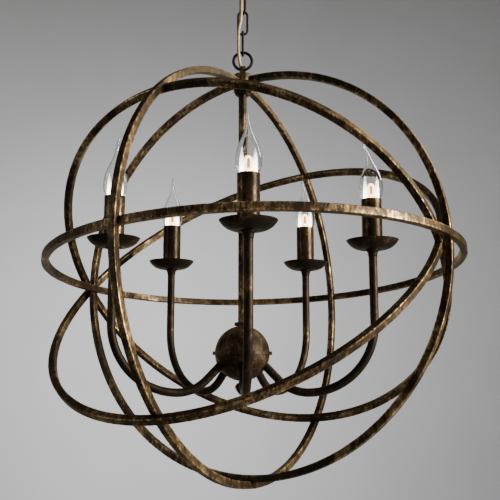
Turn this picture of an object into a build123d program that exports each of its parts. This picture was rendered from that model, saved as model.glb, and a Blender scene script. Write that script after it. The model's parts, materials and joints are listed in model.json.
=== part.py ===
from build123d import *
import os
from math import asin, cos, degrees, pi, radians, sin, sqrt

os.makedirs("parts", exist_ok=True)

# All sizes in millimetres. Origin in the middle of the ceiling face, +Z up, the photograph looks along +Y.

# Ceiling rose and its bracket
CANOPY_R = 60.0
CANOPY_DEPTH = 34.0
CANOPY_WALL = 1.4
CANOPY_RIM = 4.0
CANOPY_FLAT_SHARE = 0.42
CANOPY_BULGE_SHARE = 0.78
CANOPY_BULGE_DROP_SHARE = 0.72
BRACKET_LENGTH = 100.0
BRACKET_WIDTH = 18.0
BRACKET_THICK = 2.5
SLOT_SPACING = 70.0
SLOT_LENGTH = 14.0
SLOT_WIDTH = 5.4
SHANK_R = 5.0
SHANK_GAP = 0.3
SHANK_SHORT = 1.0
NUT_FLATS = 15.0
NUT_THICK = 4.0
NUT_CHAMFER = 0.6
COLLAR_R = 10.0
COLLAR_HEIGHT = 10.0
COLLAR_ROUND = 3.0
CEILING_LOOP_R = 12.5
CEILING_LOOP_WIRE = 5.0

# Chain, loop ring and hanging eye
LINK_WIRE = 3.6
LINK_LENGTH = 41.6
LINK_WIDTH = 18.0
LINK_TURNS = (30.0, 120.0, 0.0, 90.0)
CHAIN_GAP = 0.3
LOOP_WIRE = 4.5
LOOP_R = 14.25
EYE_HEIGHT = 24.5
EYE_R = 6.0
EYE_THICK = 9.0
EYE_BASE_THICK = 4.0
EYE_BASE_ROUND = 2.0
EYE_HOLE_GAP = 0.45
EYE_HOLE_FLARE = 1.2

# Orb of five square bar rings, leaning on its stem
ORB_R = 295.0
BAR = 10.0
ORB_LEAN_BACK = 4.56
ORB_LEAN_SIDE = 1.2
AXIS_TURN = -30.4
LAP_STEP = 7.0
LEVEL_SHIFT = 5.0
LEVEL_RAISE = 6.5
UPRIGHT_RAISE = 5.0
CROSS_DROP = 2.0
CROSS_OUTSET = 1.0
HIGH_INSET = 4.5
LOW_OUTSET = 1.5
CROSS_R = ORB_R + CROSS_OUTSET
HIGH_R = ORB_R - HIGH_INSET
LOW_R = ORB_R + LOW_OUTSET
LOW_SHIFT = 6.5
BOSS_R = 14.0
BOSS_UP = 12.0
BOSS_DOWN = 12.0

# Stem, ball and finial
STEM_R = 6.25
STEM_BORE_R = 4.3
STEM_FIT = 0.05
STEM_ENGAGE = 7.0
STEM_NUT_FLATS = 20.0
STEM_NUT_THICK = 5.0
BALL_DROP = 411.7
BALL_R = 40.0
BALL_WALL = 1.6
FLANGE_R = 43.5
FLANGE_THICK = 2.4
HUB_R = 22.0
HUB_UP = 16.0
HUB_DOWN = 18.0
HUB_CAVITY_R = 8.5
HUB_CAVITY_TOP = 6.0
HUB_CAP_THICK = 4.0
HUB_CAP_R = 20.4
ROD_R = 3.0
ROD_FIT = 0.2
FINIAL_R = 10.0
FINIAL_HEIGHT = 17.0
FINIAL_WIDE_SHARE = 0.45
FINIAL_LOW_SHARE = 0.9
FINIAL_LOW_R_SHARE = 0.55
FINIAL_NECK_R = 5.0
FINIAL_NECK = 2.5

# Arms
ARM_COUNT = 5
ARM_PHASE = 2.8
CANDLE_INSET = 102.0
ARM_CIRCLE_R = ORB_R - CANDLE_INSET
ARM_R = 6.0
ARM_BORE_R = 4.5
ARM_FIT = 0.1
ARM_HOLE_GAP = 0.5
ARM_LOW_R = 97.0
ARM_LOW_DROP = 56.0
ARM_INNER_BEND = 60.0
ARM_LEAVE_ANGLE = 45.0
ARM_START_R = 13.0

# Candles
RIM_DROP = 253.2
DISH_R = 37.2
DISH_DEPTH = 13.5
DISH_FLAT_R = 15.0
DISH_BELLY = 2.6
DISH_WALL = 1.4
SLEEVE_R = 14.6
SLEEVE_WALL = 1.6
SLEEVE_RISE = 59.6
HOLDER_R = 12.2
HOLDER_RECESS = 7.5
HOLDER_LIFT = 1.5
SOCKET_R = 7.4
SOCKET_DEPTH = 25.0
HOLDER_CAVITY_R = 8.0
HOLDER_FLOOR = 9.0
HOLDER_WEB = 1.6
CANDLE_NIPPLE_R = 4.4
CANDLE_NIPPLE_BORE_R = 3.2
NIPPLE_FIT = 0.1
NIPPLE_IN_ARM = 12.0
NIPPLE_IN_HOLDER = 7.0

# Bulbs
CAP_R = 7.0
CAP_LENGTH = 22.0
CAP_CONTACT_R = 2.6
CAP_CONTACT = 2.0
CAP_CHAMFER = 2.45
GLASS_R = 17.5
GLASS_WALL = 0.9
GLASS_RISE = 84.0
GLASS_LIFT = 1.0
GLASS_NECK_SHARE = 0.42
GLASS_BELLY_SHARE = 0.26
GLASS_SHOULDER_SHARE = 0.6
GLASS_SHOULDER_R_SHARE = 0.6
GLASS_HOLLOW_SHARE = 0.86
TIP_R = 1.0
TIP_HOLLOW_R = 1.5
FILAMENT_R = 0.8
FILAMENT_RISE = 36.4
FILAMENT_SPREAD = 5.0
FILAMENT_COUNT = 4
MOUNT_R = 2.2
MOUNT_RISE = 15.6

# Wiring
CABLE_R = 2.3
CABLE_HOLE_GAP = 0.6
CABLE_X = -2.0
CABLE_Y = -7.0
CABLE_SIDE_X = -6.7
CABLE_SIDE_Y = -6.0
CABLE_EYE_R = 9.6
CABLE_CROSSING = 12.0
CABLE_BEND_SHARE = 0.45
CABLE_BEND_MAX = 120.0
BUSH_WALL = 2.0
BUSH_LIP = 1.4
BUSH_SPACE = 2.0
CONNECTOR_SIZE = 16.0
CONNECTOR_ROUND = 2.0
LEAD_R = 1.9
LEAD_START_R = 10.0
LEAD_RISE = 7.0
SPLICE_R = 4.6
SPLICE_LENGTH = 13.0
SPLICE_GAP = 2.0

# Heights of the hanging line, from the ceiling down
link_pitch_length = LINK_LENGTH - LINK_WIRE
link_bow_r = (LINK_WIDTH - LINK_WIRE) / 2
ceiling_loop_z = -CANOPY_DEPTH - COLLAR_HEIGHT - CEILING_LOOP_R + CEILING_LOOP_WIRE / 4
ceiling_loop_low = ceiling_loop_z - CEILING_LOOP_R
link_tops = [ceiling_loop_low + (CEILING_LOOP_WIRE + LINK_WIRE) / 2 + CHAIN_GAP]
for count in range(1, len(LINK_TURNS)):
    link_tops.append(link_tops[-1] - link_pitch_length + LINK_WIRE + CHAIN_GAP)
link_lows = [top - link_pitch_length for top in link_tops]
loop_top = link_lows[-1] + (LINK_WIRE + LOOP_WIRE) / 2 + CHAIN_GAP
loop_z = loop_top - LOOP_R
eye_z = loop_top - 2 * LOOP_R
pole_z = eye_z - EYE_HEIGHT
ball_z = pole_z - BALL_DROP
rim_z = pole_z - RIM_DROP


def save(piece, name):
    """Label a finished piece and write it to its own file."""
    piece.label = name
    export_step(piece, "parts/" + name + ".step")


def upright(x, y, z, turn=0.0):
    """Upright sketch plane at a point, its x turned about Z, its y straight up."""
    across = (cos(radians(turn)), sin(radians(turn)), 0)
    return Plane(origin=(x, y, z), x_dir=across, z_dir=(sin(radians(turn)), -cos(radians(turn)), 0))


def level(x, y, z):
    """Level sketch plane at a point."""
    return Plane(origin=(x, y, z), x_dir=(1, 0, 0), z_dir=(0, 0, 1))


def hex_nut(x, y, low_z, flats, thick, bore_r):
    """Hexagon nut standing on low_z with a plain bore."""
    with BuildPart() as nut:
        with BuildSketch(level(x, y, low_z)):
            RegularPolygon(radius=flats / 2, side_count=6, major_radius=False)
            Circle(bore_r, mode=Mode.SUBTRACT)
        extrude(amount=thick)
        chamfer(nut.edges().group_by(Axis.Z)[-1].filter_by(GeomType.LINE), length=NUT_CHAMFER)
    return nut.part


# Ceiling bracket: a strip with two slots for the ceiling screws and a tapped hole in the middle
with BuildPart() as mounting_bracket:
    with BuildSketch(level(0, 0, -BRACKET_THICK)):
        SlotOverall(BRACKET_LENGTH, BRACKET_WIDTH)
        Circle(SHANK_R, mode=Mode.SUBTRACT)
        with Locations((-SLOT_SPACING / 2, 0), (SLOT_SPACING / 2, 0)):
            SlotOverall(SLOT_LENGTH, SLOT_WIDTH, mode=Mode.SUBTRACT)
    extrude(amount=BRACKET_THICK)
save(mounting_bracket.part, "mounting_bracket")

# Ceiling rose: a thin spun cup with a hole for the loop's shank and one for the cable bush
bush_hole_r = CABLE_R + CABLE_HOLE_GAP + BUSH_WALL
bush_x = -COLLAR_R - bush_hole_r - BUSH_LIP - BUSH_SPACE
canopy_flat_r = CANOPY_R * CANOPY_FLAT_SHARE
with BuildPart() as canopy:
    with BuildSketch(upright(0, 0, 0)):
        with BuildLine():
            Line((0, 0), (CANOPY_R, 0))
            Line((CANOPY_R, 0), (CANOPY_R, -CANOPY_RIM))
            ThreePointArc(
                (CANOPY_R, -CANOPY_RIM),
                (CANOPY_R * CANOPY_BULGE_SHARE, -CANOPY_DEPTH * CANOPY_BULGE_DROP_SHARE),
                (canopy_flat_r, -CANOPY_DEPTH),
            )
            Line((canopy_flat_r, -CANOPY_DEPTH), (0, -CANOPY_DEPTH))
            Line((0, -CANOPY_DEPTH), (0, 0))
        make_face()
    revolve(axis=Axis.Z)
    offset(amount=-CANOPY_WALL, openings=canopy.faces().sort_by(Axis.Z)[-1], kind=Kind.INTERSECTION)
    with BuildSketch(level(0, 0, -CANOPY_DEPTH)):
        Circle(SHANK_R + SHANK_GAP)
        with Locations((bush_x, 0)):
            Circle(bush_hole_r)
    extrude(amount=CANOPY_WALL, mode=Mode.SUBTRACT)
save(canopy.part, "canopy")

# Lock nuts: one under the bracket, one inside the rose
nut_lows = (-BRACKET_THICK - NUT_THICK, -CANOPY_DEPTH + CANOPY_WALL)
nuts = [hex_nut(0, 0, low, NUT_FLATS, NUT_THICK, SHANK_R) for low in nut_lows]
save(Compound(children=nuts), "canopy_nuts")

# Ceiling loop: a threaded shank up to the bracket, a collar under the rose and a round loop below
with BuildPart() as ceiling_loop:
    with BuildSketch(level(0, 0, -CANOPY_DEPTH - COLLAR_HEIGHT)):
        Circle(COLLAR_R)
    extrude(amount=COLLAR_HEIGHT)
    fillet(ceiling_loop.edges().sort_by(Axis.Z)[0], radius=COLLAR_ROUND)
    with BuildSketch(level(0, 0, -CANOPY_DEPTH)):
        Circle(SHANK_R)
    extrude(amount=CANOPY_DEPTH - SHANK_SHORT)
    with Locations(upright(0, 0, ceiling_loop_z, LINK_TURNS[1])):
        Torus(CEILING_LOOP_R, CEILING_LOOP_WIRE / 2)
save(ceiling_loop.part, "ceiling_loop")

# Chain links: two bows and two straight sides of round wire, each link turned against its neighbour
for number, (turn, low) in enumerate(zip(LINK_TURNS, link_lows)):
    middle_z = low + link_pitch_length / 2
    side = link_pitch_length / 2 - link_bow_r
    bow_axis = (sin(radians(turn)), -cos(radians(turn)), 0)
    side_x = link_bow_r * cos(radians(turn))
    side_y = link_bow_r * sin(radians(turn))
    with BuildPart() as chain_link:
        with BuildSketch(level(side_x, side_y, middle_z), level(-side_x, -side_y, middle_z)):
            Circle(LINK_WIRE / 2)
        extrude(amount=side, both=True)
        with BuildSketch(level(side_x, side_y, middle_z + side)):
            Circle(LINK_WIRE / 2)
        revolve(axis=Axis((0, 0, middle_z + side), bow_axis), revolution_arc=180)
        with BuildSketch(level(-side_x, -side_y, middle_z - side)):
            Circle(LINK_WIRE / 2)
        revolve(axis=Axis((0, 0, middle_z - side), bow_axis), revolution_arc=180)
    save(chain_link.part, "chain_link_" + str(number + 1))

# Loop ring at the top of the orb
with BuildPart() as loop_ring:
    with Locations(upright(0, 0, loop_z)):
        Torus(LOOP_R, LOOP_WIRE / 2)
save(loop_ring.part, "loop_ring")

# Hanging eye: a lug with a flared cross hole on a round foot, with a cable hole behind the lug
cable_turn = AXIS_TURN + 135.0
cable_eye_x = CABLE_EYE_R * cos(radians(cable_turn))
cable_eye_y = CABLE_EYE_R * sin(radians(cable_turn))
eye_foot_z = pole_z + BOSS_UP
hole_mid_r = LOOP_WIRE / 2 + EYE_HOLE_GAP
hole_end_r = hole_mid_r + EYE_HOLE_FLARE
with BuildPart() as hanging_eye:
    with BuildSketch(level(0, 0, eye_foot_z)):
        Circle(BOSS_R)
    extrude(amount=EYE_BASE_THICK)
    fillet(hanging_eye.edges().sort_by(Axis.Z)[-1], radius=EYE_BASE_ROUND)
    with BuildSketch(Plane(origin=(0, 0, eye_z), x_dir=(0, 1, 0), z_dir=(1, 0, 0))):
        Circle(EYE_R)
        with Locations((0, (eye_foot_z - eye_z) / 2)):
            Rectangle(2 * EYE_R, eye_z - eye_foot_z)
    extrude(amount=EYE_THICK / 2, both=True)
    with BuildSketch(upright(0, 0, eye_z)):
        with BuildLine():
            Line((-EYE_THICK / 2, 0), (-EYE_THICK / 2, hole_end_r))
            ThreePointArc((-EYE_THICK / 2, hole_end_r), (0, hole_mid_r), (EYE_THICK / 2, hole_end_r))
            Line((EYE_THICK / 2, hole_end_r), (EYE_THICK / 2, 0))
            Line((EYE_THICK / 2, 0), (-EYE_THICK / 2, 0))
        make_face()
    revolve(axis=Axis((0, 0, eye_z), (1, 0, 0)), mode=Mode.SUBTRACT)
    with BuildSketch(level(cable_eye_x, cable_eye_y, eye_foot_z)):
        Circle(CABLE_R + CABLE_HOLE_GAP)
    extrude(amount=EYE_BASE_THICK, mode=Mode.SUBTRACT)
save(hanging_eye.part, "hanging_eye")

# Top boss that the upright rings end in, slotted for the cable and bored for the stem
stem_top = pole_z - BOSS_DOWN + STEM_ENGAGE
with BuildPart() as top_boss:
    with BuildSketch(level(0, 0, pole_z - BOSS_DOWN)):
        Circle(BOSS_R)
    extrude(amount=BOSS_UP + BOSS_DOWN)
    with BuildSketch(level(0, 0, pole_z - BOSS_DOWN)):
        Circle(STEM_R + STEM_FIT)
    extrude(amount=STEM_ENGAGE, mode=Mode.SUBTRACT)
    with BuildSketch(Plane(origin=(0, 0, stem_top), x_dir=(cable_eye_x, cable_eye_y, 0), z_dir=(0, 0, 1))):
        with Locations((CABLE_EYE_R / 2, 0)):
            SlotCenterToCenter(CABLE_EYE_R, 2 * (CABLE_R + CABLE_HOLE_GAP))
    extrude(amount=BOSS_UP + BOSS_DOWN - STEM_ENGAGE, mode=Mode.SUBTRACT)
save(top_boss.part, "top_boss")

# Orb frame: its origin is the pole, z out of the pole, x along the diameter that four rings share
lean_back = sin(radians(ORB_LEAN_BACK))
lean_side = -sin(radians(ORB_LEAN_SIDE))
orb_up = Vector(lean_side, lean_back, sqrt(1 - lean_back**2 - lean_side**2))
shared = Vector(cos(radians(AXIS_TURN)), sin(radians(AXIS_TURN)), 0)
shared = (shared - orb_up * shared.dot(orb_up)).normalized()
cross = orb_up.cross(shared)


def orb_point(along, across, out):
    """Point in the part's frame from offsets along, across and out of the orb's centre."""
    return Vector(0, 0, pole_z) + orb_up * (out - ORB_R) + shared * along + cross * across


def bar_ring(radius, centre, normal, radial):
    """Whole ring of square bar."""
    with BuildPart() as ring:
        across_bar = Plane(origin=centre + radial * radius, x_dir=radial, z_dir=radial.cross(normal))
        with BuildSketch(across_bar):
            Rectangle(BAR, BAR)
        revolve(axis=Axis(centre, normal))
    return ring.part


half = sqrt(0.5)
with BuildPart() as ring_upright:
    add(bar_ring(ORB_R, orb_point(LAP_STEP / 2, 0, UPRIGHT_RAISE), cross, shared))
    with Locations((0, 0, pole_z)):
        Cylinder(BOSS_R, 4 * BAR, mode=Mode.SUBTRACT)
save(ring_upright.part, "ring_upright")

with BuildPart() as ring_cross:
    add(bar_ring(CROSS_R, orb_point(0, 0, -CROSS_DROP), shared, cross))
    with Locations((0, 0, pole_z)):
        Cylinder(BOSS_R, 4 * BAR, mode=Mode.SUBTRACT)
    add(ring_upright.part, mode=Mode.SUBTRACT)
save(ring_cross.part, "ring_cross")

with BuildPart() as ring_level:
    add(bar_ring(ORB_R, orb_point(1.5 * LAP_STEP, LEVEL_SHIFT, LEVEL_RAISE), orb_up, cross))
    add([ring_upright.part, ring_cross.part], mode=Mode.SUBTRACT)
save(ring_level.part, "ring_level")

with BuildPart() as ring_near_high:
    add(bar_ring(HIGH_R, orb_point(-LAP_STEP / 2, 0, 0), (orb_up + cross) * half, (orb_up - cross) * half))
    add([ring_upright.part, ring_cross.part, ring_level.part], mode=Mode.SUBTRACT)
save(ring_near_high.part, "ring_near_high")

low_step = LOW_SHIFT * half
with BuildPart() as ring_near_low:
    low_centre = orb_point(-1.5 * LAP_STEP, -low_step, -low_step)
    add(bar_ring(LOW_R, low_centre, (orb_up - cross) * half, (orb_up + cross) * half))
    add(
        [ring_upright.part, ring_cross.part, ring_level.part, ring_near_high.part],
        mode=Mode.SUBTRACT,
    )
save(ring_near_low.part, "ring_near_low")

# Stem tube from the boss to the hub inside the ball
stem_low = ball_z + HUB_CAVITY_TOP
with BuildPart() as stem:
    with BuildSketch(level(0, 0, stem_low)):
        Circle(STEM_R)
        Circle(STEM_BORE_R, mode=Mode.SUBTRACT)
    extrude(amount=stem_top - stem_low)
save(stem.part, "stem")

# Lock nuts on the stem: one under the boss, one on the ball
stem_nut_lows = (pole_z - BOSS_DOWN - STEM_NUT_THICK, ball_z + BALL_R)
stem_nuts = [hex_nut(0, 0, low, STEM_NUT_FLATS, STEM_NUT_THICK, STEM_R + STEM_FIT) for low in stem_nut_lows]
save(Compound(children=stem_nuts), "stem_nuts")

# Arm route in its own upright plane: out and down from the hub, round the low bend, up to the dish
arm_top = rim_z - DISH_DEPTH
outer_bend = ARM_CIRCLE_R - ARM_LOW_R
leave = radians(ARM_LEAVE_ANGLE)
bend_r = ARM_LOW_R - ARM_INNER_BEND * sin(leave)
bend_z = -ARM_LOW_DROP + ARM_INNER_BEND * (1 - cos(leave))


def arm_turn(number):
    """Direction of an arm about Z, the first one towards the camera."""
    return -90.0 + ARM_PHASE + 360.0 / ARM_COUNT * number


def arm_spot(number):
    """Where an arm's candle stands, seen from above."""
    turn = radians(arm_turn(number))
    return ARM_CIRCLE_R * cos(turn), ARM_CIRCLE_R * sin(turn)


def along_arm(number, start_r, top_z, outer_r, inner_r):
    """Round bar or tube that follows an arm's route from a start radius to a height."""
    plane = upright(0, 0, ball_z, arm_turn(number))
    start = (start_r, bend_z + (bend_r - start_r) * sin(leave) / cos(leave))
    with BuildPart() as run:
        with BuildLine(plane) as route:
            Line(start, (bend_r, bend_z))
            inner_middle = (ARM_LOW_R, ARM_INNER_BEND - ARM_LOW_DROP)
            CenterArc(inner_middle, ARM_INNER_BEND, 270 - ARM_LEAVE_ANGLE, ARM_LEAVE_ANGLE)
            CenterArc((ARM_LOW_R, outer_bend - ARM_LOW_DROP), outer_bend, 270, 90)
            Line((ARM_CIRCLE_R, outer_bend - ARM_LOW_DROP), (ARM_CIRCLE_R, top_z - ball_z))
        with BuildSketch(Plane(origin=route.line @ 0, z_dir=route.line % 0)):
            Circle(outer_r)
            if inner_r > 0:
                Circle(inner_r, mode=Mode.SUBTRACT)
        sweep(path=route.line)
    return run.part


for number in range(ARM_COUNT):
    save(along_arm(number, ARM_START_R, arm_top, ARM_R, ARM_BORE_R), "arm_" + str(number + 1))

# Hub inside the ball: sockets for the arms, a bore for the stem, a wiring space below
with BuildPart() as arm_hub:
    with BuildSketch(level(0, 0, ball_z - HUB_DOWN)):
        Circle(HUB_R)
    extrude(amount=HUB_DOWN + HUB_UP)
    with BuildSketch(level(0, 0, ball_z - HUB_DOWN)):
        Circle(HUB_CAVITY_R)
    extrude(amount=HUB_DOWN + HUB_CAVITY_TOP, mode=Mode.SUBTRACT)
    with BuildSketch(level(0, 0, ball_z + HUB_CAVITY_TOP)):
        Circle(STEM_R + STEM_FIT)
    extrude(amount=HUB_UP - HUB_CAVITY_TOP, mode=Mode.SUBTRACT)
    for number in range(ARM_COUNT):
        add(along_arm(number, ARM_START_R, arm_top, ARM_R + ARM_FIT, 0), mode=Mode.SUBTRACT)
        add(along_arm(number, LEAD_START_R, arm_top, ARM_BORE_R, 0), mode=Mode.SUBTRACT)
save(arm_hub.part, "arm_hub")

# Cap that closes the wiring space and takes the finial's rod
cap_z = ball_z - HUB_DOWN - HUB_CAP_THICK
with BuildPart() as hub_cap:
    with BuildSketch(level(0, 0, cap_z)):
        Circle(HUB_CAP_R)
        Circle(ROD_R, mode=Mode.SUBTRACT)
    extrude(amount=HUB_CAP_THICK)
    for number in range(ARM_COUNT):
        add(along_arm(number, ARM_START_R, arm_top, ARM_R + ARM_FIT, 0), mode=Mode.SUBTRACT)
save(hub_cap.part, "hub_cap")


def ball_half(sign, pole_hole_r):
    """Thin half ball with a flat flange at its open edge and a hole at its pole."""
    with BuildPart() as shell:
        with BuildSketch(upright(0, 0, ball_z)):
            with BuildLine():
                inner = BALL_R - BALL_WALL
                flange_root = sqrt(BALL_R**2 - FLANGE_THICK**2)
                Line((inner, 0), (FLANGE_R, 0))
                Line((FLANGE_R, 0), (FLANGE_R, sign * FLANGE_THICK))
                Line((FLANGE_R, sign * FLANGE_THICK), (flange_root, sign * FLANGE_THICK))
                ThreePointArc(
                    (flange_root, sign * FLANGE_THICK),
                    (BALL_R * half, sign * BALL_R * half),
                    (0, sign * BALL_R),
                )
                Line((0, sign * BALL_R), (0, sign * inner))
                ThreePointArc((0, sign * inner), (inner * half, sign * inner * half), (inner, 0))
            make_face()
        revolve(axis=Axis.Z)
        with BuildSketch(level(0, 0, ball_z)):
            Circle(pole_hole_r)
        extrude(amount=sign * BALL_R, mode=Mode.SUBTRACT)
    return shell.part


with BuildPart() as ball_upper:
    add(ball_half(1, STEM_R + STEM_FIT))
save(ball_upper.part, "ball_upper")

with BuildPart() as ball_lower:
    add(ball_half(-1, ROD_R + ROD_FIT))
    for number in range(ARM_COUNT):
        add(along_arm(number, ARM_START_R, arm_top, ARM_R + ARM_HOLE_GAP, 0), mode=Mode.SUBTRACT)
save(ball_lower.part, "ball_lower")

# Finial: a rod up into the hub's cap, a short neck under the ball and a rounded knob
knob_top = ball_z - BALL_R - FINIAL_NECK
with BuildPart() as finial:
    with BuildSketch(upright(0, 0, knob_top)):
        with BuildLine():
            Line((0, 0), (FINIAL_NECK_R, 0))
            Spline(
                (FINIAL_NECK_R, 0),
                (FINIAL_R, -FINIAL_HEIGHT * FINIAL_WIDE_SHARE),
                (FINIAL_R * FINIAL_LOW_R_SHARE, -FINIAL_HEIGHT * FINIAL_LOW_SHARE),
                (0, -FINIAL_HEIGHT),
                tangents=((1, -0.3), (-1, 0)),
            )
            Line((0, -FINIAL_HEIGHT), (0, 0))
        make_face()
    revolve(axis=Axis.Z)
    with BuildSketch(level(0, 0, knob_top)):
        Circle(FINIAL_NECK_R)
    extrude(amount=FINIAL_NECK)
    with BuildSketch(level(0, 0, knob_top)):
        Circle(ROD_R)
    extrude(amount=cap_z + HUB_CAP_THICK - knob_top)
save(finial.part, "finial")

# Candle pieces on each arm
sleeve_low = rim_z - DISH_DEPTH + DISH_WALL
sleeve_top = rim_z + SLEEVE_RISE
holder_low = sleeve_low + HOLDER_LIFT
holder_top = sleeve_top - HOLDER_RECESS
cap_low = holder_top - CAP_LENGTH
nipple_top = holder_low + NIPPLE_IN_HOLDER
glass_low = holder_top + GLASS_LIFT

# Flame glass outline: two arcs that meet at the belly, then a hollow arc up to the tip
glass_height = sleeve_top + GLASS_RISE - glass_low
neck_r = GLASS_R * GLASS_NECK_SHARE
belly = glass_height * GLASS_BELLY_SHARE
shoulder = glass_height * GLASS_SHOULDER_SHARE
shoulder_r = GLASS_R * GLASS_SHOULDER_R_SHARE
low_arc = ((GLASS_R - neck_r) ** 2 + belly**2) / (2 * (GLASS_R - neck_r))
high_arc = ((GLASS_R - shoulder_r) ** 2 + (shoulder - belly) ** 2) / (2 * (GLASS_R - shoulder_r))
sweep_up = degrees(asin((shoulder - belly) / high_arc))
leaning = (-sin(radians(sweep_up)), cos(radians(sweep_up)))
low_in = low_arc - GLASS_WALL
high_in = high_arc - GLASS_WALL
end_r = GLASS_R - high_arc + high_in * cos(radians(sweep_up))
end_z = belly + high_in * sin(radians(sweep_up))
hollow_height = glass_height * GLASS_HOLLOW_SHARE

# Pieces of one kind that share a file
lampholders = []
candle_nipples = []
lamp_leads = []
for number in range(ARM_COUNT):
    x, y = arm_spot(number)
    name = str(number + 1)
    with BuildPart() as dish:
        with BuildSketch(upright(x, y, rim_z)):
            with BuildLine():
                Line((0, 0), (DISH_R, 0))
                ThreePointArc(
                    (DISH_R, 0),
                    ((DISH_R + DISH_FLAT_R) / 2 + DISH_BELLY, -DISH_DEPTH / 2 - DISH_BELLY),
                    (DISH_FLAT_R, -DISH_DEPTH),
                )
                Line((DISH_FLAT_R, -DISH_DEPTH), (0, -DISH_DEPTH))
                Line((0, -DISH_DEPTH), (0, 0))
            make_face()
        revolve(axis=Axis((x, y, 0), (0, 0, 1)))
        offset(amount=-DISH_WALL, openings=dish.faces().sort_by(Axis.Z)[-1], kind=Kind.INTERSECTION)
        with BuildSketch(level(x, y, rim_z - DISH_DEPTH)):
            Circle(CANDLE_NIPPLE_R + NIPPLE_FIT)
        extrude(amount=DISH_WALL, mode=Mode.SUBTRACT)
    save(dish.part, "dish_" + name)

    with BuildPart() as sleeve:
        with BuildSketch(level(x, y, sleeve_low)):
            Circle(SLEEVE_R)
            Circle(SLEEVE_R - SLEEVE_WALL, mode=Mode.SUBTRACT)
        extrude(amount=sleeve_top - sleeve_low)
    save(sleeve.part, "candle_sleeve_" + name)

    with BuildPart() as holder:
        with BuildSketch(level(x, y, holder_low)):
            Circle(HOLDER_R)
        extrude(amount=holder_top - holder_low)
        with BuildSketch(level(x, y, holder_top)):
            Circle(SOCKET_R)
        extrude(amount=-SOCKET_DEPTH, mode=Mode.SUBTRACT)
        with BuildSketch(level(x, y, holder_low + HOLDER_FLOOR)):
            Circle(HOLDER_CAVITY_R)
        extrude(amount=holder_top - SOCKET_DEPTH - holder_low - HOLDER_FLOOR - HOLDER_WEB, mode=Mode.SUBTRACT)
        with BuildSketch(level(x, y, holder_low)):
            Circle(CANDLE_NIPPLE_R + NIPPLE_FIT)
        extrude(amount=HOLDER_FLOOR, mode=Mode.SUBTRACT)
    lampholders.append(holder.part)

    with BuildPart() as nipple:
        with BuildSketch(level(x, y, arm_top - NIPPLE_IN_ARM)):
            Circle(CANDLE_NIPPLE_R)
            Circle(CANDLE_NIPPLE_BORE_R, mode=Mode.SUBTRACT)
        extrude(amount=nipple_top - arm_top + NIPPLE_IN_ARM)
    candle_nipples.append(nipple.part)
    lead_top = holder_low + HOLDER_FLOOR + LEAD_RISE
    lamp_leads.append(along_arm(number, LEAD_START_R, lead_top, LEAD_R, 0))

    with BuildPart() as bulb_cap:
        with BuildSketch(level(x, y, cap_low + CAP_CONTACT)):
            Circle(CAP_R)
        extrude(amount=glass_low - cap_low - CAP_CONTACT)
        chamfer(bulb_cap.edges().sort_by(Axis.Z)[0], length=CAP_CHAMFER)
        with BuildSketch(level(x, y, cap_low)):
            Circle(CAP_CONTACT_R)
        extrude(amount=CAP_CONTACT)
    save(bulb_cap.part, "bulb_cap_" + name)

    # Flame glass: a thin pear shell drawn out to a fine tip
    with BuildPart() as glass:
        with BuildSketch(upright(x, y, glass_low)):
            with BuildLine():
                sweep_low = degrees(asin(belly / low_arc))
                Line((0, 0), (neck_r, 0))
                CenterArc((GLASS_R - low_arc, belly), low_arc, -sweep_low, sweep_low)
                CenterArc((GLASS_R - high_arc, belly), high_arc, 0, sweep_up)
                TangentArc((shoulder_r, shoulder), (TIP_R, glass_height), tangent=leaning)
                Line((TIP_R, glass_height), (0, glass_height))
                Line((0, glass_height), (0, 0))
            make_face()
        revolve(axis=Axis((x, y, 0), (0, 0, 1)))
        with BuildSketch(upright(x, y, glass_low)):
            with BuildLine():
                sweep_low = degrees(asin(belly / low_in))
                Line((0, 0), (GLASS_R - low_arc + low_in * cos(radians(sweep_low)), 0))
                CenterArc((GLASS_R - low_arc, belly), low_in, -sweep_low, sweep_low)
                CenterArc((GLASS_R - high_arc, belly), high_in, 0, sweep_up)
                TangentArc((end_r, end_z), (TIP_HOLLOW_R, hollow_height), tangent=leaning)
                Line((TIP_HOLLOW_R, hollow_height), (0, hollow_height))
                Line((0, hollow_height), (0, 0))
            make_face()
        revolve(axis=Axis((x, y, 0), (0, 0, 1)), mode=Mode.SUBTRACT)
    save(glass.part, "bulb_glass_" + name)

    # Filament mount: a central support with a fan of straight filaments
    with BuildPart() as filament:
        with BuildSketch(level(x, y, glass_low)):
            Circle(MOUNT_R)
        extrude(amount=MOUNT_RISE)
        for count in range(FILAMENT_COUNT):
            turn = 2 * pi * (count + 0.5) / FILAMENT_COUNT
            foot = Vector(x, y, glass_low + MOUNT_RISE - FILAMENT_R)
            head = foot + Vector(FILAMENT_SPREAD * cos(turn), FILAMENT_SPREAD * sin(turn), FILAMENT_RISE)
            with BuildSketch(Plane(origin=foot, z_dir=head - foot)):
                Circle(FILAMENT_R)
            extrude(amount=(head - foot).length)
    save(filament.part, "bulb_filament_" + name)

save(Compound(children=lampholders), "lampholders")
save(Compound(children=candle_nipples), "candle_nipples")
save(Compound(children=lamp_leads), "lamp_leads")

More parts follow.
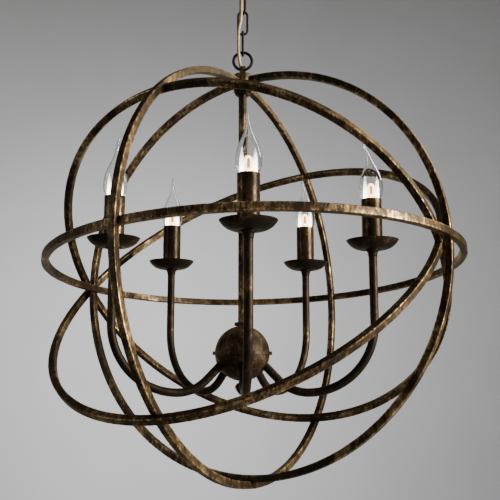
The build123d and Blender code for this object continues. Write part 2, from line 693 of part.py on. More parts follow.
# Mains cable: from the rose down in front of the chain, beside the lowest link, through the loop ring,
# behind the eye and through the boss into the stem
connector_low = -BRACKET_THICK - CONNECTOR_SIZE
splice_top = ball_z + HUB_CAVITY_TOP - SPLICE_GAP
cable_points = [
    (bush_x, 0, connector_low),
    (bush_x, 0, -CANOPY_DEPTH - COLLAR_HEIGHT),
    (CABLE_X, CABLE_Y, link_tops[0] + LINK_WIRE / 2 + CABLE_R),
    (CABLE_X, CABLE_Y, link_tops[-1] + LINK_WIRE / 2 + CABLE_R + CABLE_CROSSING),
    (CABLE_SIDE_X, CABLE_SIDE_Y, link_tops[-1] + LINK_WIRE / 2 + CABLE_R),
    (CABLE_SIDE_X, CABLE_SIDE_Y, loop_top - LOOP_WIRE - CABLE_R),
    (cable_eye_x, cable_eye_y, eye_z + EYE_R),
    (cable_eye_x, cable_eye_y, pole_z + BOSS_UP - 2 * CABLE_R),
    (0, 0, stem_top),
    (0, 0, splice_top),
]
cable_radii = []
for before, corner, after in zip(cable_points, cable_points[1:], cable_points[2:]):
    into = Vector(corner) - Vector(before)
    out = Vector(after) - Vector(corner)
    turn = radians(into.get_angle(out))
    bend = CABLE_BEND_SHARE * min(into.length, out.length) * cos(turn / 2) / sin(turn / 2)
    cable_radii.append(min(bend, CABLE_BEND_MAX))
with BuildPart() as power_cable:
    with BuildLine() as cable_route:
        FilletPolyline(*cable_points, radius=cable_radii)
    with BuildSketch(Plane(origin=cable_route.line @ 0, z_dir=cable_route.line % 0)):
        Circle(CABLE_R)
    sweep(path=cable_route.line)
save(power_cable.part, "power_cable")
print("cable bend radii", [round(r, 1) for r in cable_radii])
cable_length = cable_route.wires()[0].length
print("cable volume", power_cable.part.volume, "section by length", pi * CABLE_R**2 * cable_length)

# Cable bush in the rose, connector above it, and the splice at the foot of the stem
with BuildPart() as cable_bush:
    with BuildSketch(level(bush_x, 0, -CANOPY_DEPTH)):
        Circle(bush_hole_r)
        Circle(CABLE_R + CABLE_HOLE_GAP, mode=Mode.SUBTRACT)
    extrude(amount=CANOPY_WALL)
    upper_lip_z = -CANOPY_DEPTH + CANOPY_WALL + BUSH_LIP
    with BuildSketch(level(bush_x, 0, -CANOPY_DEPTH), level(bush_x, 0, upper_lip_z)):
        Circle(bush_hole_r + BUSH_LIP)
        Circle(CABLE_R + CABLE_HOLE_GAP, mode=Mode.SUBTRACT)
    extrude(amount=-BUSH_LIP)
save(cable_bush.part, "cable_bush")

with BuildPart() as connector:
    with Locations((bush_x, 0, connector_low + CONNECTOR_SIZE / 2)):
        Box(CONNECTOR_SIZE, CONNECTOR_SIZE, CONNECTOR_SIZE)
    fillet(connector.edges().filter_by(Axis.Z), radius=CONNECTOR_ROUND)
save(connector.part, "connector_block")

with BuildPart() as splice:
    with BuildSketch(level(0, 0, splice_top - SPLICE_LENGTH)):
        Circle(SPLICE_R)
    extrude(amount=SPLICE_LENGTH)
save(splice.part, "wire_splice")
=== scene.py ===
import json
from math import cos, pi, radians, sin, sqrt

import bmesh
import bpy
from mathutils import Matrix, Vector

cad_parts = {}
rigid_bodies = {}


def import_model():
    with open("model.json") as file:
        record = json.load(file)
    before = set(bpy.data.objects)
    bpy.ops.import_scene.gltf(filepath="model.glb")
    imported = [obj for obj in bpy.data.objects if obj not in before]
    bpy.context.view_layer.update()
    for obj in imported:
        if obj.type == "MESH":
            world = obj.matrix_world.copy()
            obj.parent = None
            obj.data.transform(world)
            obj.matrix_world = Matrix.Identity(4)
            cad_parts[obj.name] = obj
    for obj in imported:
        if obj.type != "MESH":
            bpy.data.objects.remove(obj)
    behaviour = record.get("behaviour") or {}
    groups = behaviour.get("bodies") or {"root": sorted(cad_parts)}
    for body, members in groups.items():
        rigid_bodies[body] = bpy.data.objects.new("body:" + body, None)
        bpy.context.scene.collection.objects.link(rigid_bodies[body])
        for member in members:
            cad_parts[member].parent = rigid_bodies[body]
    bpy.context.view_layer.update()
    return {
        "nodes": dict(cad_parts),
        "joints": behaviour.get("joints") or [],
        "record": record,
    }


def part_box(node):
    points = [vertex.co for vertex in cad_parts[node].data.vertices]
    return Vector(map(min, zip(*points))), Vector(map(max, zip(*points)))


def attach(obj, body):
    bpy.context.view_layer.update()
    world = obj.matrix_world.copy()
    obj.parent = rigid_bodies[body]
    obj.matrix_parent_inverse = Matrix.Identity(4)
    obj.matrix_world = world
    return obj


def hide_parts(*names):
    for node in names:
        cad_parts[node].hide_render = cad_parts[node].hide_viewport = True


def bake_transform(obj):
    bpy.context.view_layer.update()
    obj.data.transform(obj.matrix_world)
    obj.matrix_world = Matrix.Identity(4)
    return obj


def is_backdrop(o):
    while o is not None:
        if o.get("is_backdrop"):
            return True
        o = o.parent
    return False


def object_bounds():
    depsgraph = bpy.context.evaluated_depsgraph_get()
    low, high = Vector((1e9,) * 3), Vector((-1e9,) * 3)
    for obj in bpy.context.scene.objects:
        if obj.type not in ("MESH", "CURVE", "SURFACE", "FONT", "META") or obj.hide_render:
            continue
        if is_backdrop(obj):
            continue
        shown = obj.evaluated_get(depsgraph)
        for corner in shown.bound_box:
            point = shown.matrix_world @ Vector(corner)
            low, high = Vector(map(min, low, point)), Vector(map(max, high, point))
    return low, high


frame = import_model()
nodes = frame["nodes"]
scene = bpy.context.scene
MM = 0.001
BULBS = range(1, 6)


# Node helpers


def add_node(tree, kind, values=None, **settings):
    """Put a node in a tree and set its properties and plain input values."""
    node = tree.nodes.new(kind)
    for key, value in settings.items():
        setattr(node, key, value)
    for key, value in (values or {}).items():
        node.inputs[key].default_value = value
    return node


def join(tree, source, target):
    """Link one output to one input."""
    tree.links.new(source, target)


def calc(tree, operation, a, b, clamp=False):
    """Math node from two inputs, each a socket or a number."""
    node = add_node(tree, "ShaderNodeMath", operation=operation, use_clamp=clamp)
    for place, value in enumerate((a, b)):
        if isinstance(value, (int, float)):
            node.inputs[place].default_value = value
        else:
            join(tree, value, node.inputs[place])
    return node.outputs[0]


def ramp(tree, factor, stops):
    """Colour ramp through a list of (place, colour)."""
    node = add_node(tree, "ShaderNodeValToRGB")
    while len(node.color_ramp.elements) < len(stops):
        node.color_ramp.elements.new(0.5)
    for element, (place, colour) in zip(node.color_ramp.elements, stops):
        element.position = place
        element.color = (*colour, 1)
    join(tree, factor, node.inputs[0])
    return node.outputs[0]


def between(tree, factor, low, high):
    """Number that goes from low to high as a factor goes from 0 to 1."""
    node = add_node(tree, "ShaderNodeMapRange", {3: low, 4: high})
    join(tree, factor, node.inputs[0])
    return node.outputs[0]


def noise(tree, vector, scale, detail, roughness, distortion=0.0):
    """Noise value between 0 and 1."""
    values = {"Scale": scale, "Detail": detail, "Roughness": roughness, "Distortion": distortion}
    node = add_node(tree, "ShaderNodeTexNoise", values)
    join(tree, vector, node.inputs["Vector"])
    return node.outputs[0]


def stronger(tree, value, low, high):
    """Value stretched so that low becomes 0 and high becomes 1."""
    node = add_node(tree, "ShaderNodeMapRange", {1: low, 2: high})
    join(tree, value, node.inputs[0])
    return node.outputs[0]


def new_group(name, inputs, outputs):
    """Node group with number inputs and typed outputs."""
    group = bpy.data.node_groups.new(name, "ShaderNodeTree")
    for label, value in inputs:
        socket = group.interface.new_socket(name=label, in_out="INPUT", socket_type="NodeSocketFloat")
        socket.default_value = value
    for label, kind in outputs:
        group.interface.new_socket(name=label, in_out="OUTPUT", socket_type=kind)
    return group, group.nodes.new("NodeGroupInput"), group.nodes.new("NodeGroupOutput")


# Finishes

# Dark brown ground up to bright rubbed gold, and the blend values that give the two ends
GOLD_STOPS = (
    (0.0, (0.0014, 0.0011, 0.0009)),
    (0.3, (0.0065, 0.0044, 0.0029)),
    (0.5, (0.026, 0.0165, 0.0088)),
    (0.66, (0.1, 0.064, 0.031)),
    (0.82, (0.32, 0.22, 0.11)),
    (1.0, (0.7, 0.53, 0.3)),
)
GOLD_REACH = (-0.3, 0.36)

# Glow of the bulbs. The strips fade between two heights of the part
FOOT_GLOW = 5.0
FOOT_STOPS = ((0.3, (1.0, 0.62, 0.28)), (0.7, (1.0, 0.82, 0.56)))
WIRE_GLOW = 6.0
WIRE_STOPS = ((0.0, (1.0, 0.4, 0.09)), (1.0, (1.0, 0.72, 0.3)))
STRIP_GLOW = 7.0
STRIP_STOPS = (
    (0.0, (0.03, 0.03, 0.032)),
    (0.3, (0.12, 0.118, 0.115)),
    (0.65, (0.46, 0.42, 0.36)),
    (1.0, (0.9, 0.78, 0.6)),
)
STRIP_TIP_Z = -0.412
STRIP_LOW_Z = -0.442


def rubbed_gold_group():
    """Gold paint rubbed through dark brown: patches, brush strokes, a fine grain, and more gold on marked
    bar corners that is partly rubbed wear and partly a painted highlight.
    """
    outputs = (
        ("Color", "NodeSocketColor"),
        ("Metal", "NodeSocketFloat"),
        ("Rough", "NodeSocketFloat"),
        ("Height", "NodeSocketFloat"),
    )
    group, given, out = new_group("rubbed_gold", (("Gold", 0.5), ("Dull", 0.0)), outputs)
    place = add_node(group, "ShaderNodeTexCoord").outputs["Object"]
    clouds = stronger(group, noise(group, place, 14, 3, 0.5, 0.4), 0.28, 0.72)
    patches = stronger(group, noise(group, place, 70, 5, 0.62, 0.6), 0.22, 0.78)
    strokes_map = add_node(group, "ShaderNodeMapping", {"Rotation": (0.5, 0.7, 0.3), "Scale": (1, 1, 0.4)})
    join(group, place, strokes_map.inputs["Vector"])
    strokes = stronger(group, noise(group, strokes_map.outputs[0], 230, 4, 0.65, 0.8), 0.26, 0.74)
    grain = stronger(group, noise(group, place, 900, 3, 0.6), 0.34, 0.66)
    blend = calc(group, "MULTIPLY", clouds, 0.26)
    blend = calc(group, "ADD", blend, calc(group, "MULTIPLY", patches, 0.26))
    blend = calc(group, "ADD", blend, calc(group, "MULTIPLY", strokes, 0.28))
    blend = calc(group, "ADD", blend, calc(group, "MULTIPLY", grain, 0.12))
    blend = calc(group, "ADD", blend, calc(group, "SUBTRACT", given.outputs["Gold"], 0.98))
    # Marked bar corners get more gold: partly rubbed wear, partly a painted highlight along the edges.
    edges = add_node(group, "ShaderNodeAttribute", attribute_name="edge_wear_and_highlight").outputs["Fac"]
    worn_and_highlit = calc(group, "MULTIPLY", edges, calc(group, "MULTIPLY", strokes, 0.2))
    blend = calc(group, "ADD", blend, worn_and_highlit)
    mask = stronger(group, blend, *GOLD_REACH)
    colour = ramp(group, mask, GOLD_STOPS)
    join(group, colour, out.inputs["Color"])
    join(group, between(group, mask, 0.2, 1.0), out.inputs["Metal"])
    rough = calc(group, "ADD", between(group, mask, 0.46, 0.27), calc(group, "MULTIPLY", grain, 0.08))
    join(group, calc(group, "ADD", rough, given.outputs["Dull"]), out.inputs["Rough"])
    height = calc(group, "ADD", calc(group, "MULTIPLY", strokes, 0.3), calc(group, "MULTIPLY", grain, 0.08))
    join(group, calc(group, "ADD", height, calc(group, "MULTIPLY", patches, 0.25)), out.inputs["Height"])
    return group


def new_material(name):
    """Material with an empty Principled surface, and its tree and shader."""
    material = bpy.data.materials.new(name)
    material.use_nodes = True
    tree = material.node_tree
    return material, tree, tree.nodes["Principled BSDF"]


def bump(tree, shader, height, distance):
    """Raise a surface by a height of at most distance."""
    node = add_node(tree, "ShaderNodeBump", {"Strength": 1.0, "Distance": distance})
    join(tree, height, node.inputs["Height"])
    join(tree, node.outputs[0], shader.inputs["Normal"])


RUBBED = rubbed_gold_group()


def rubbed_metal(name, gold, dull, relief):
    """Antique finish with more or less gold showing."""
    material, tree, shader = new_material(name)
    finish = add_node(tree, "ShaderNodeGroup", node_tree=RUBBED)
    finish.inputs["Gold"].default_value = gold
    finish.inputs["Dull"].default_value = dull
    join(tree, finish.outputs["Color"], shader.inputs["Base Color"])
    join(tree, finish.outputs["Metal"], shader.inputs["Metallic"])
    join(tree, finish.outputs["Rough"], shader.inputs["Roughness"])
    shader.inputs["Specular IOR Level"].default_value = 0.2
    shader.inputs["Specular Tint"].default_value = (0.92, 0.75, 0.52, 1)
    bump(tree, shader, finish.outputs["Height"], relief)
    return material


def lit_foot():
    """Milky glass foot that the filament lights from above."""
    material, tree, shader = new_material("lit_foot")
    shader.inputs["Base Color"].default_value = (0.9, 0.85, 0.75, 1)
    place = add_node(tree, "ShaderNodeTexCoord").outputs["Object"]
    cloud = noise(tree, place, 260, 3, 0.6)
    join(tree, between(tree, cloud, 0.2, 0.4), shader.inputs["Roughness"])
    join(tree, ramp(tree, cloud, FOOT_STOPS), shader.inputs["Emission Color"])
    shader.inputs["Emission Strength"].default_value = FOOT_GLOW
    return material


def speckled(name, dark, light, scale, roughness, metallic=0.0, relief=0.0001):
    """Plain material whose colour and gloss vary a little."""
    material, tree, shader = new_material(name)
    place = add_node(tree, "ShaderNodeTexCoord").outputs["Object"]
    value = noise(tree, place, scale, 4, 0.6)
    join(tree, ramp(tree, value, ((0.3, dark), (0.7, light))), shader.inputs["Base Color"])
    join(tree, between(tree, value, roughness + 0.08, roughness - 0.06), shader.inputs["Roughness"])
    shader.inputs["Metallic"].default_value = metallic
    bump(tree, shader, value, relief)
    return material


def clear_glass():
    """Thin clear bulb glass."""
    material, tree, shader = new_material("bulb_glass")
    shader.inputs["Base Color"].default_value = (0.97, 0.98, 0.98, 1)
    shader.inputs["Transmission Weight"].default_value = 1.0
    shader.inputs["IOR"].default_value = 1.48
    place = add_node(tree, "ShaderNodeTexCoord").outputs["Object"]
    haze = noise(tree, place, 40, 2, 0.5)
    join(tree, between(tree, haze, 0.0, 0.02), shader.inputs["Roughness"])
    return material


def glowing_wire():
    """Glowing filament, paler on the crowns of its turns."""
    material, tree, shader = new_material("filament")
    place = add_node(tree, "ShaderNodeTexCoord").outputs["Object"]
    turns = add_node(tree, "ShaderNodeTexWave", {"Scale": 420.0, "Distortion": 1.0}, bands_direction="Z")
    join(tree, place, turns.inputs["Vector"])
    shader.inputs["Base Color"].default_value = (1.0, 0.8, 0.5, 1)
    shader.inputs["Roughness"].default_value = 0.6
    join(tree, ramp(tree, turns.outputs[1], WIRE_STOPS), shader.inputs["Emission Color"])
    shader.inputs["Emission Strength"].default_value = WIRE_GLOW
    return material


def light_strip():
    """Stand-in for the glare in the glass beside the filament: bright at its foot, fading to its tip."""
    material, tree, shader = new_material("light_strip")
    shader.inputs["Base Color"].default_value = (0.95, 0.94, 0.92, 1)
    shader.inputs["Transmission Weight"].default_value = 1.0
    shader.inputs["IOR"].default_value = 1.3
    place = add_node(tree, "ShaderNodeTexCoord").outputs["Object"]
    height = add_node(tree, "ShaderNodeSeparateXYZ")
    join(tree, place, height.inputs[0])
    share = stronger(tree, height.outputs[2], STRIP_TIP_Z, STRIP_LOW_Z)
    join(tree, ramp(tree, share, STRIP_STOPS), shader.inputs["Emission Color"])
    shader.inputs["Emission Strength"].default_value = STRIP_GLOW
    haze = noise(tree, place, 120, 2, 0.5)
    join(tree, between(tree, haze, 0.2, 0.4), shader.inputs["Roughness"])
    return material


FINISHES = {
    "antique_gold": rubbed_metal("antique_gold", 0.55, 0.0, 0.0005),
    "ring_bar": rubbed_metal("ring_bar", 0.56, 0.0, 0.0005),
    "dark_gold": rubbed_metal("dark_gold", 0.44, 0.03, 0.0004),
    "dark_bronze": rubbed_metal("dark_bronze", 0.36, 0.06, 0.0003),
    "candle_sleeve": rubbed_metal("candle_sleeve", 0.54, -0.1, 0.0003),
    "bulb_glass": clear_glass(),
    "filament": glowing_wire(),
    "light_strip": light_strip(),
    "lit_foot": lit_foot(),
    "lamp_cap": speckled("lamp_cap", (0.55, 0.4, 0.16), (0.78, 0.62, 0.32), 120, 0.3, 1.0),
    "black_plastic": speckled("black_plastic", (0.008, 0.008, 0.008), (0.02, 0.019, 0.018), 300, 0.5),
    "pale_plastic": speckled("pale_plastic", (0.62, 0.59, 0.5), (0.76, 0.73, 0.66), 200, 0.45),
    "cable_jacket": speckled("cable_jacket", (0.2, 0.14, 0.06), (0.36, 0.27, 0.13), 160, 0.35),
    "zinc_steel": speckled("zinc_steel", (0.36, 0.36, 0.37), (0.6, 0.6, 0.61), 260, 0.4, 1.0),
}

node_slot = {part["node"]: part["material_slot"] for part in frame["record"]["subparts"]}
for name, piece in nodes.items():
    darker = name.startswith(("arm_", "dish_"))
    finish = FINISHES["dark_gold" if darker else node_slot[name]]
    if piece.material_slots:
        for held in piece.material_slots:
            held.material = finish
    else:
        piece.data.materials.append(finish)


# Mesh helpers


def finished(name, mesh, slot, body=None, stands_for=(), finish=None):
    """Object at the origin from a finished mesh, with its finish, body and the solids it stands for."""
    data = bpy.data.meshes.new(name)
    mesh.to_mesh(data)
    mesh.free()
    data.polygons.foreach_set("use_smooth", [True] * len(data.polygons))
    piece = bpy.data.objects.new(name, data)
    scene.collection.objects.link(piece)
    data.materials.append(FINISHES[finish or slot])
    if body:
        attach(piece, body)
    if stands_for:
        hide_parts(*stands_for)
    return piece


def in_mm(outline):
    """Pairs given in millimetres as metres."""
    return [(r * MM, z * MM) for r, z in outline]


def spun(outline, middle, steps=48):
    """Surface turned about a vertical axis through a point from (radius, height) pairs."""
    mesh = bmesh.new()
    corners = [mesh.verts.new((middle.x + r, middle.y, middle.z + z)) for r, z in outline]
    edges = [mesh.edges.new(pair) for pair in zip(corners, corners[1:])]
    bmesh.ops.spin(
        mesh,
        geom=corners + edges,
        cent=middle,
        axis=(0, 0, 1),
        angle=2 * pi,
        steps=steps,
        use_merge=True,
    )
    bmesh.ops.remove_doubles(mesh, verts=mesh.verts, dist=1e-6)
    bmesh.ops.recalc_face_normals(mesh, faces=mesh.faces)
    return mesh


def shade_edges(piece):
    """Even shading on a bar's flat faces, with the eased corners kept round."""
    weights = piece.modifiers.new("flat_faces", "WEIGHTED_NORMAL")
    weights.keep_sharp = False


# Mains cable: one smooth line beside the chain, cut where the links carry it

CABLE_R = 2.3 * MM
CABLE_LINE = (
    (-18.3, 0, -18.5),
    (-18.3, 0, -44.0),
    (-2.0, -7.0, -59.05),
    (-2.0, -7.0, -149.35),
    (-6.7, -6.0, -161.35),
    (-6.7, -6.0, -205.9),
    (-2.42, 9.29, -221.6),
    (-2.42, 9.29, -244.7),
    (0, 0, -257.1),
    (0, 0, -659.8),
)
CHAIN = ("ceiling_mount", "link_1", "link_2", "link_3", "link_4", "loop", "orb")
joint_height = {(j["parent"], j["child"]): j["pos_m"][2] for j in frame["joints"]}


def cable_mesh():
    """Round tube along the cable's line."""
    line = bpy.data.curves.new("cable_line", "CURVE")
    line.dimensions = "3D"
    line.resolution_u = 14
    line.bevel_depth = CABLE_R
    line.bevel_resolution = 4
    line.use_fill_caps = True
    spline = line.splines.new("NURBS")
    spline.points.add(len(CABLE_LINE) - 1)
    for point, (x, y, z) in zip(spline.points, CABLE_LINE):
        point.co = (x * MM, y * MM, z * MM, 1)
    spline.order_u = 3
    spline.use_endpoint_u = True
    carrier = bpy.data.objects.new("cable_line", line)
    scene.collection.objects.link(carrier)
    data = bpy.data.meshes.new_from_object(carrier.evaluated_get(bpy.context.evaluated_depsgraph_get()))
    bpy.data.objects.remove(carrier)
    return data


def cable_run(name, data, top, bottom):
    """Stretch of the cable between two heights, closed at both ends."""
    mesh = bmesh.new()
    mesh.from_mesh(data)
    bmesh.ops.remove_doubles(mesh, verts=mesh.verts, dist=1e-6)
    for height, side in ((top, 1), (bottom, -1)):
        if height is None:
            continue
        everything = mesh.verts[:] + mesh.edges[:] + mesh.faces[:]
        cut = bmesh.ops.bisect_plane(
            mesh,
            geom=everything,
            dist=1e-7,
            plane_co=(0, 0, height),
            plane_no=(0, 0, side),
            clear_outer=True,
        )
        rim = [e for e in cut["geom_cut"] if isinstance(e, bmesh.types.BMEdge)]
        bmesh.ops.edgeloop_fill(mesh, edges=rim)
    bmesh.ops.recalc_face_normals(mesh, faces=mesh.faces)
    return finished(name, mesh, "cable_jacket")


cable_data = cable_mesh()
heights = [joint_height[pair] for pair in zip(CHAIN, CHAIN[1:])]
cuts = [None] + [(a + b) / 2 for a, b in zip(heights, heights[1:])] + [None]
for number, pair in enumerate(zip(CHAIN, CHAIN[1:])):
    run = cable_run("cable_run_" + str(number + 1), cable_data, cuts[number], cuts[number + 1])
    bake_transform(run)
    if number == 0:
        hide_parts("power_cable")


# Orb rings: square bar with eased edges, in the leaning frame of the orb

BAR = 10 * MM
BAR_EASE = 1.4 * MM
BAR_SECTION = (
    ((-1, -1), (-0.5, -1), (0.5, -1))
    + ((1, -1), (1, -0.5), (1, 0.5))
    + ((1, 1), (0.5, 1), (-0.5, 1))
    + ((-1, 1), (-1, 0.5), (-1, -0.5))
)
BAR_STEPS = 180
ORB_R = 295 * MM
CROSS_R = 296 * MM
HIGH_R = 290.5 * MM
LOW_R = 296.5 * MM
LAP_STEP = 7 * MM
UPRIGHT_RISE = 5 * MM
CROSS_DROP = 2 * MM
LEVEL_ASIDE = 5 * MM
LEVEL_RISE = 6.5 * MM
LOW_STEP = 6.5 * MM
BOSS_GAP = 4.0
POLE = Vector((0, 0, -252.1)) * MM
SHARED_TURN = radians(-30.4)
lean_back = sin(radians(4.56))
lean_side = -sin(radians(1.2))
orb_up = Vector((lean_side, lean_back, sqrt(1 - lean_back**2 - lean_side**2)))
shared = Vector((cos(SHARED_TURN), sin(SHARED_TURN), 0))
shared = (shared - orb_up * shared.dot(orb_up)).normalized()
across = orb_up.cross(shared)


def orb_point(along, aside, out):
    """Point from offsets along, aside and out of the orb's centre."""
    return POLE + orb_up * (out - ORB_R) + shared * along + across * aside


def bar_ring(name, centre, normal, radius, start, gap=0.0):
    """Ring of square bar about a centre. A gap, in degrees, leaves it open at its start, inside the boss."""
    normal = normal.normalized()
    radial = Matrix.Rotation(radians(gap / 2), 3, normal) @ start.normalized()
    mesh = bmesh.new()
    middle = centre + radial * radius
    # Corner points are marked for more gold in the finish: rubbed wear and a painted edge highlight.
    corner_wear_and_highlight = mesh.verts.layers.float.new("edge_wear_and_highlight")
    section = []
    for a, b in BAR_SECTION:
        point = mesh.verts.new(middle + radial * (a * BAR / 2) + normal * (b * BAR / 2))
        point[corner_wear_and_highlight] = float(abs(a) == abs(b))
        section.append(point)
    corners = [point for point in section if point[corner_wear_and_highlight]]
    mesh.faces.new(section)
    bmesh.ops.bevel(
        mesh,
        geom=corners,
        offset=BAR_EASE,
        offset_type="OFFSET",
        segments=3,
        profile=0.5,
        affect="VERTICES",
        material=-1,
    )
    bmesh.ops.delete(mesh, geom=mesh.faces[:], context="FACES_ONLY")
    bmesh.ops.spin(
        mesh,
        geom=mesh.verts[:] + mesh.edges[:],
        cent=centre,
        axis=normal,
        angle=radians(360 - gap),
        steps=BAR_STEPS,
        use_merge=gap == 0,
    )
    bmesh.ops.remove_doubles(mesh, verts=mesh.verts, dist=1e-6)
    bmesh.ops.holes_fill(mesh, edges=[e for e in mesh.edges if e.is_boundary], sides=0)
    bmesh.ops.recalc_face_normals(mesh, faces=mesh.faces)
    piece = finished(name + "_bar", mesh, node_slot[name], "orb", [name], "ring_bar")
    shade_edges(piece)
    return piece


half = sqrt(0.5)
high_normal = (orb_up + across) * half
low_normal = (orb_up - across) * half
low_step = LOW_STEP * half
low_centre = orb_point(-1.5 * LAP_STEP, -low_step, -low_step)
bar_ring("ring_upright", orb_point(LAP_STEP / 2, 0, UPRIGHT_RISE), across, ORB_R, orb_up, BOSS_GAP)
bar_ring("ring_cross", orb_point(0, 0, -CROSS_DROP), shared, CROSS_R, orb_up, BOSS_GAP)
bar_ring("ring_level", orb_point(1.5 * LAP_STEP, LEVEL_ASIDE, LEVEL_RISE), orb_up, ORB_R, across)
bar_ring("ring_near_high", orb_point(-LAP_STEP / 2, 0, 0), high_normal, HIGH_R, orb_up - across)
bar_ring("ring_near_low", low_centre, low_normal, LOW_R, orb_up + across)


# Flame bulbs: drawn glass with a bent tip, a lit foot, a glowing hoop of wire, and two strips for its glare

GLASS_OUTLINE = (
    (7.2, 0.0),
    (9.6, 2.0),
    (13.6, 7.0),
    (16.6, 14.5),
    (17.5, 23.0),
    (16.6, 33.0),
    (13.8, 43.0),
    (9.6, 52.5),
    (5.6, 60.5),
    (3.3, 68.0),
    (2.2, 77.0),
    (1.4, 86.0),
    (0.7, 90.0),
    (0.0, 90.4),
)
GLASS_WALL = 0.8 * MM
TIP_START = 50.0
TIP_LEANS = {1: (-2.0, 7.0), 2: (-11.0, -2.0), 3: (-5.0, 6.0), 4: (1.0, -8.0), 5: (5.0, -8.0)}
FOOT_OUTLINE = (
    (0.0, -2.0),
    (6.4, -2.0),
    (6.0, 0.5),
    (3.6, 4.0),
    (2.2, 9.0),
    (1.9, 12.5),
    (1.4, 14.0),
    (0.0, 14.4),
)
HOOP_FOOT = 8 * MM
HOOP_LEG = 17 * MM
HOOP_R = 3.9 * MM
HOOP_WIRE = 1.7 * MM
HOOP_TURN = radians(20)
STRIP_OUTLINE = (
    (0.0, 0.0),
    (1.6, 0.4),
    (2.6, 3.0),
    (3.0, 9.0),
    (2.9, 16.0),
    (2.3, 24.0),
    (1.3, 31.0),
    (0.0, 36.0),
)
STRIP_ASIDE = 8.6 * MM
STRIP_FOOT = 5.5 * MM


def filament_hoop(mesh, foot, turn):
    """Upright hoop of hot wire: a leg, half a turn, and a leg down."""
    side = Vector((cos(turn), sin(turn), 0))
    start = Matrix.Translation(foot + side * HOOP_R)
    ring = bmesh.ops.create_circle(mesh, cap_ends=True, radius=HOOP_WIRE, segments=10, matrix=start)
    ends = list({f for v in ring["verts"] for f in v.link_faces})
    rise = bmesh.ops.extrude_face_region(mesh, geom=ends)
    tops = [g for g in rise["geom"] if isinstance(g, bmesh.types.BMVert)]
    bmesh.ops.translate(mesh, verts=tops, vec=(0, 0, HOOP_LEG))
    crown = [g for g in rise["geom"] if isinstance(g, bmesh.types.BMFace)]
    middle = foot + Vector((0, 0, HOOP_LEG))
    half_turn = bmesh.ops.spin(mesh, geom=crown, cent=middle, axis=(side.y, -side.x, 0), angle=pi, steps=12)
    last = [g for g in half_turn["geom_last"] if isinstance(g, bmesh.types.BMFace)]
    fall = bmesh.ops.extrude_face_region(mesh, geom=last)
    lows = [g for g in fall["geom"] if isinstance(g, bmesh.types.BMVert)]
    bmesh.ops.translate(mesh, verts=lows, vec=(0, 0, -HOOP_LEG))


def bulb(number):
    """Glass, foot, filament and glare strips of one bulb."""
    label = str(number)
    low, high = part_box("bulb_glass_" + label)
    axis = Vector(((low.x + high.x) / 2, (low.y + high.y) / 2, low.z))
    body = "bulb_" + label

    shell = spun(in_mm(GLASS_OUTLINE), axis)
    lean = Vector((*TIP_LEANS[number], 0)) * MM
    for corner in shell.verts:
        rise = (corner.co.z - axis.z) / MM
        share = max(0.0, (rise - TIP_START) / (GLASS_OUTLINE[-1][1] - TIP_START))
        corner.co += lean * share**2
    glass = finished("flame_glass_" + label, shell, "bulb_glass", body, ["bulb_glass_" + label])
    wall = glass.modifiers.new("wall", "SOLIDIFY")
    wall.thickness = GLASS_WALL
    wall.offset = -1
    smooth = glass.modifiers.new("smooth", "SUBSURF")
    smooth.levels = 1
    smooth.render_levels = 1

    foot = spun(in_mm(FOOT_OUTLINE), axis, 24)
    finished("bulb_foot_" + label, foot, "bulb_glass", body, finish="lit_foot")

    hoop = bmesh.new()
    filament_hoop(hoop, axis + Vector((0, 0, HOOP_FOOT)), HOOP_TURN)
    bmesh.ops.recalc_face_normals(hoop, faces=hoop.faces)
    finished("filament_hoop_" + label, hoop, "filament", body, ["bulb_filament_" + label])
    for side, aside in (("left", -STRIP_ASIDE), ("right", STRIP_ASIDE)):
        strip = spun(in_mm(STRIP_OUTLINE), axis + Vector((aside, 0, STRIP_FOOT)), 16)
        finished("light_strip_" + side + "_" + label, strip, "bulb_glass", body, finish="light_strip")


for number in BULBS:
    bulb(number)


# Small flared collars where the arms meet the dishes

COLLAR_OUTLINE = ((0.0, -10.0), (6.1, -10.0), (6.7, -8.6), (7.0, -5.0), (8.4, -2.0), (11.5, 0.0), (0.0, 0.0))
for number in BULBS:
    low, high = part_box("dish_" + str(number))
    foot = Vector(((low.x + high.x) / 2, (low.y + high.y) / 2, low.z))
    flare = spun(in_mm(COLLAR_OUTLINE), foot, 32)
    finished("arm_collar_" + str(number), flare, "antique_gold", "orb", finish="dark_gold")


# Studio: a round pale bowl that the lamp hangs in, soft lights and the camera

FLOOR_Z = -1.7
FLAT_R = 2.2
BEND_R = 1.2
WALL_R = 3.4
WALL_TOP = 4.6
PAPER_STOPS = ((0.3, (0.243, 0.248, 0.255)), (0.7, (0.255, 0.26, 0.268)))
LAMP_MIDDLE = (0, 0, -0.55)
WARM = (1.0, 0.94, 0.87)
COOL = (0.94, 0.97, 1.0)
AIR_COLOUR = (0.72, 0.74, 0.77, 1)
AIR_STRENGTH = 0.085
CAMERA_PLACE = (0.0113, -1.1351, -0.6995)
CAMERA_LOOK = Vector((0, 0.9865, 0.1639))


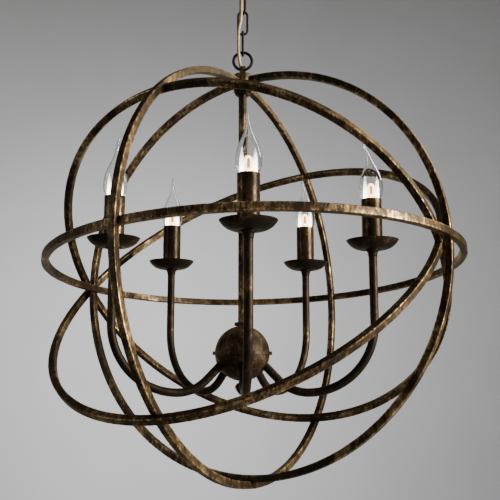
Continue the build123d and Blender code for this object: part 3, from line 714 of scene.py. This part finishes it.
def studio_floor():
    """Floor disc that turns up into a round wall."""
    outline = [(0.0, 0.0), (FLAT_R, 0.0)]
    for turn in range(10, 91, 10):
        outline.append((FLAT_R + BEND_R * sin(radians(turn)), BEND_R - BEND_R * cos(radians(turn))))
    outline.append((WALL_R, WALL_TOP))
    mesh = spun(outline, Vector((0, 0, FLOOR_Z)), 96)
    bmesh.ops.reverse_faces(mesh, faces=mesh.faces)
    data = bpy.data.meshes.new("studio_floor")
    mesh.to_mesh(data)
    mesh.free()
    data.polygons.foreach_set("use_smooth", [True] * len(data.polygons))
    floor = bpy.data.objects.new("studio_floor", data)
    scene.collection.objects.link(floor)
    material, tree, shader = new_material("studio_paper")
    place = add_node(tree, "ShaderNodeTexCoord").outputs["Object"]
    value = noise(tree, place, 3, 2, 0.5)
    join(tree, ramp(tree, value, PAPER_STOPS), shader.inputs["Base Color"])
    shader.inputs["Roughness"].default_value = 0.9
    data.materials.append(material)
    floor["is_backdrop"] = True


def softbox(name, place, aim, width, height, power, colour=(1, 1, 1)):
    """Area light aimed at a point, not seen by the camera itself."""
    light = bpy.data.lights.new(name, "AREA")
    light.shape = "RECTANGLE"
    light.size = width
    light.size_y = height
    light.energy = power
    light.color = colour
    lamp = bpy.data.objects.new(name, light)
    lamp.location = place
    lamp.rotation_mode = "QUATERNION"
    lamp.rotation_quaternion = (Vector(aim) - Vector(place)).to_track_quat("-Z", "Y")
    lamp.visible_camera = False
    scene.collection.objects.link(lamp)


studio_floor()
softbox("key_right", (1.8, -0.8, -0.25), LAMP_MIDDLE, 0.7, 1.5, 185, WARM)
softbox("rim_right", (1.3, 0.9, 0.7), LAMP_MIDDLE, 0.4, 1.0, 14, WARM)
softbox("fill_left", (-1.8, -0.7, -0.2), LAMP_MIDDLE, 0.5, 1.3, 6, COOL)
softbox("top_soft", (0.1, -0.2, 1.5), LAMP_MIDDLE, 1.4, 1.4, 4)
softbox("wall_glow", (-0.4, 1.9, -0.4), (-0.5, 3.4, -0.35), 1.0, 1.0, 62)

world = bpy.data.worlds.new("studio_air")
world.use_nodes = True
air = world.node_tree.nodes["Background"]
air.inputs[0].default_value = AIR_COLOUR
air.inputs[1].default_value = AIR_STRENGTH
scene.world = world

camera_data = bpy.data.cameras.new("camera")
camera_data.lens = 55.5
camera_data.sensor_width = 36
camera = bpy.data.objects.new("camera", camera_data)
camera.location = CAMERA_PLACE
camera.rotation_mode = "QUATERNION"
camera.rotation_quaternion = CAMERA_LOOK.to_track_quat("-Z", "Y")
scene.collection.objects.link(camera)
scene.camera = camera

low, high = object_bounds()
